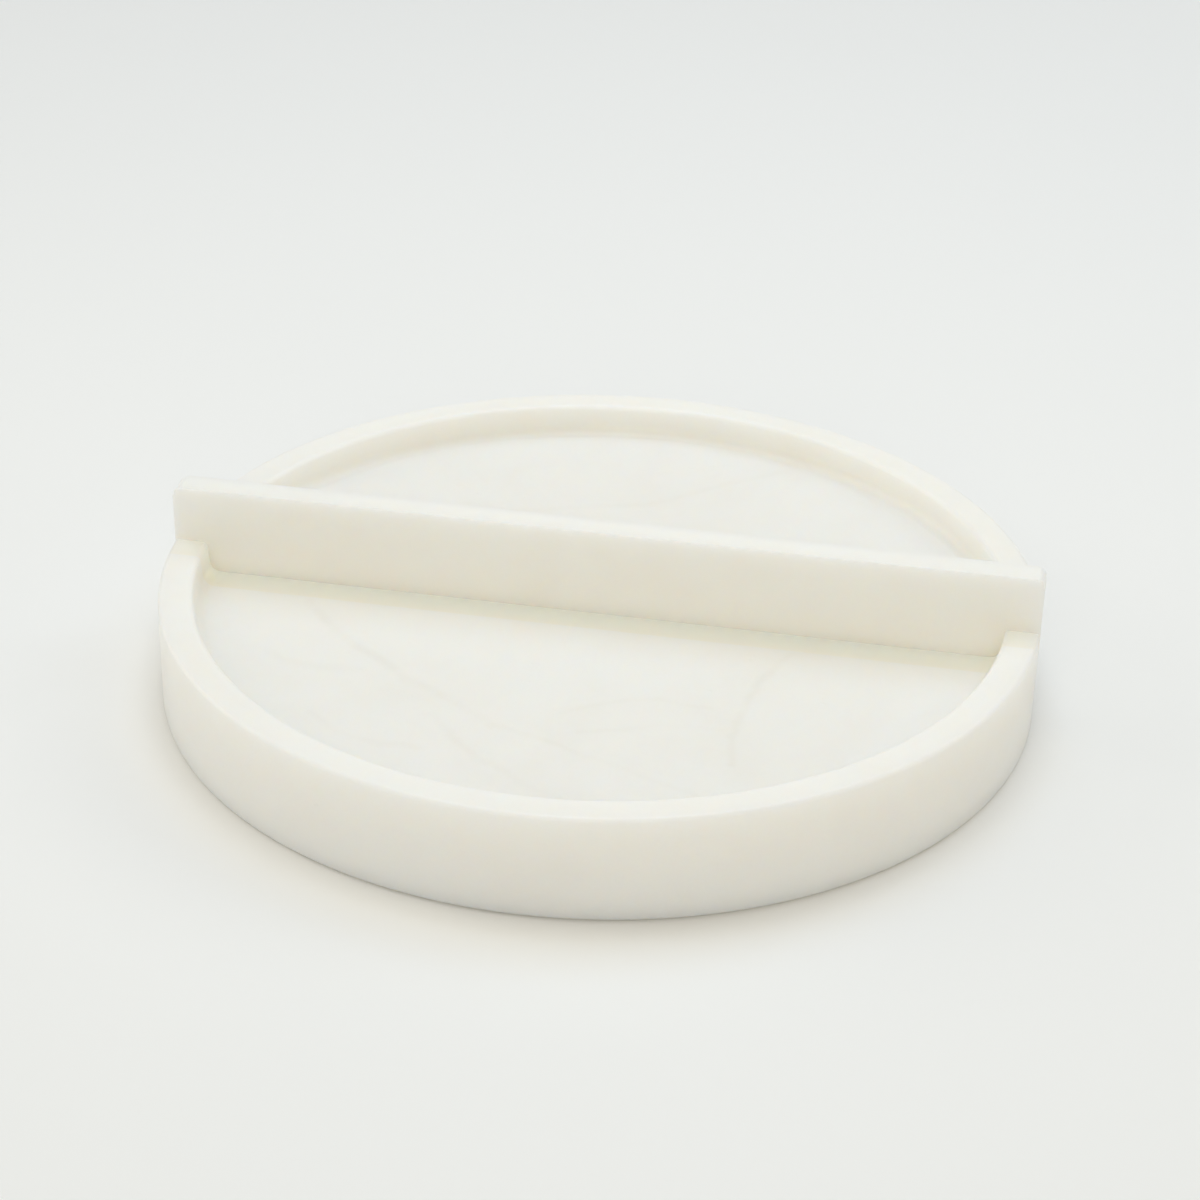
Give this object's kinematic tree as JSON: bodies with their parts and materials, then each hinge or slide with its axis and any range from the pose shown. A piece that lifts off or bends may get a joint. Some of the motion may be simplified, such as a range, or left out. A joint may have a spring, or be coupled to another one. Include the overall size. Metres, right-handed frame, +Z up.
{
  "type": "tray",
  "caption": "Round white alabaster tray with a low raised rim and a straight upright bar across its full width, which divides the sunk floor and serves as a handle.",
  "frame": {"origin": "centre of the tray's base, on the surface that its pads stand on", "axes": "+Z up, +X along the bar, +Y towards the rear half of the tray"},
  "size_m": [0.3, 0.3, 0.057],
  "materials": {
    "alabaster": "polished, translucent white with faint warm veins",
    "stone_adhesive": "cured resin, satin",
    "pin_steel": "ground stainless steel",
    "pad_felt": "off-white wool felt"
  },
  "bodies": {
    "root": {"tray_body": "alabaster", "cross_bar": "alabaster", "adhesive_bed": "stone_adhesive", "locating_pin_left": "pin_steel", "locating_pin_right": "pin_steel", "foot_pad_front_left": "pad_felt", "foot_pad_front_right": "pad_felt", "foot_pad_rear_left": "pad_felt", "foot_pad_rear_right": "pad_felt"}
  },
  "joints": []
}
